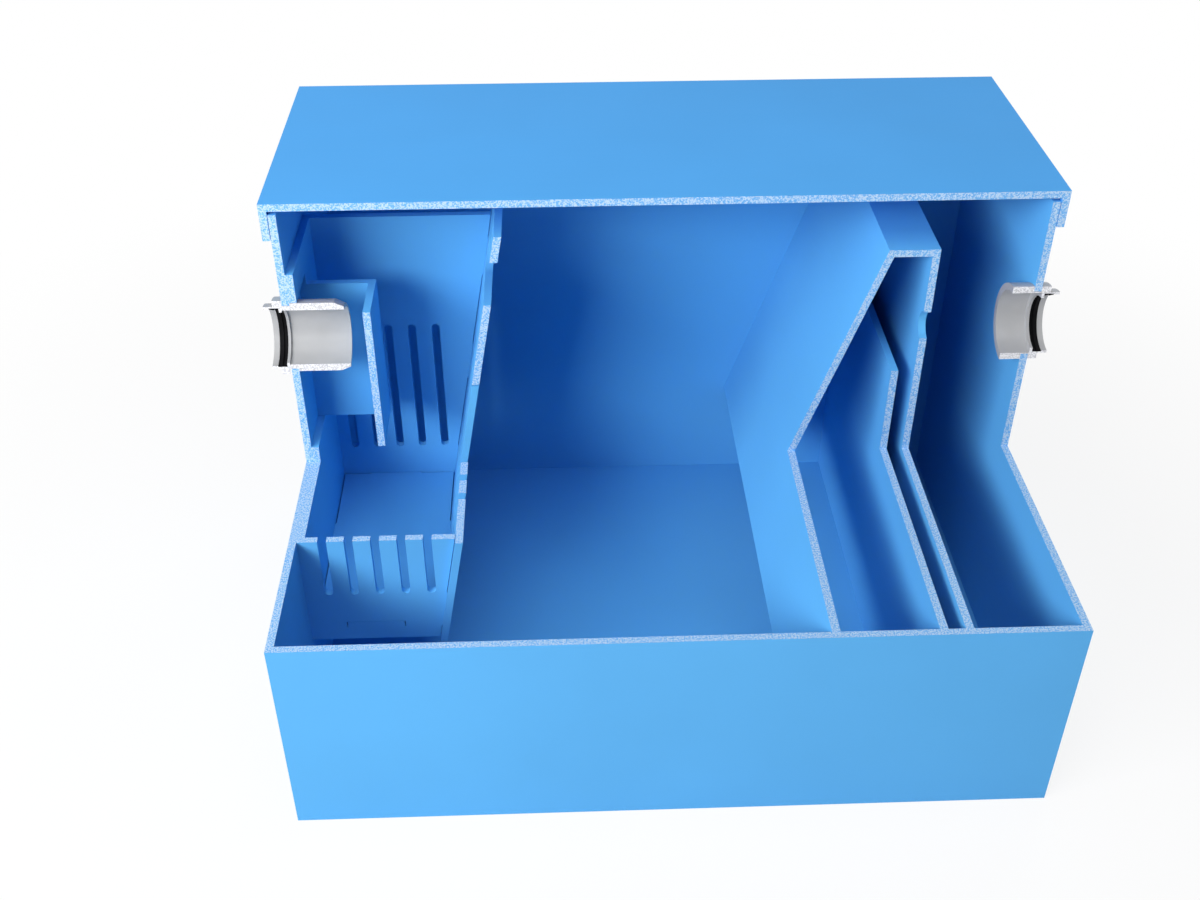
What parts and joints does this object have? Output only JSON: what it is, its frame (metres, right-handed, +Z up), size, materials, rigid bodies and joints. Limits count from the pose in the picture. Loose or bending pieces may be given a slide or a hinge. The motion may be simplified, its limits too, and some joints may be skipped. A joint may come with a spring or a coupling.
{
  "type": "grease trap",
  "caption": "Cutaway grease trap of welded blue plastic sheet, with lid, slotted sludge basket, inlet deflector, slanted outlet siphon and pipe sockets.",
  "frame": {"origin": "middle of the tank's underside", "axes": "+Z up, +X from the inlet to the outlet, -Y towards the sawn-open front"},
  "size_m": [0.63, 0.4565, 0.426],
  "materials": {
    "blue_sheet": "satin extruded sheet, with granular sawn faces",
    "grey_fitting": "moulded, semi-gloss",
    "seal_rubber": "matt black"
  },
  "bodies": {
    "root": {"tank_floor": "blue_sheet", "tank_front_wall": "blue_sheet", "tank_back_wall": "blue_sheet", "tank_left_wall": "blue_sheet", "tank_right_wall": "blue_sheet", "lid_plate": "blue_sheet", "lid_left_skirt": "blue_sheet", "lid_right_skirt": "blue_sheet", "lid_long_skirts": "blue_sheet", "lid_seal": "seal_rubber", "basket_inner_wall": "blue_sheet", "basket_outer_wall": "blue_sheet", "basket_front_wall": "blue_sheet", "basket_back_wall": "blue_sheet", "basket_floor": "blue_sheet", "deflector_plate": "blue_sheet", "deflector_cheeks": "blue_sheet", "slanted_baffle": "blue_sheet", "siphon_top_plate": "blue_sheet", "weir_plate": "blue_sheet", "siphon_rear_plate": "blue_sheet", "inlet_socket": "grey_fitting", "inlet_tube": "grey_fitting", "inlet_seal_ring": "seal_rubber", "outlet_socket": "grey_fitting", "outlet_nut": "grey_fitting", "outlet_seal_ring": "seal_rubber"}
  },
  "joints": []
}
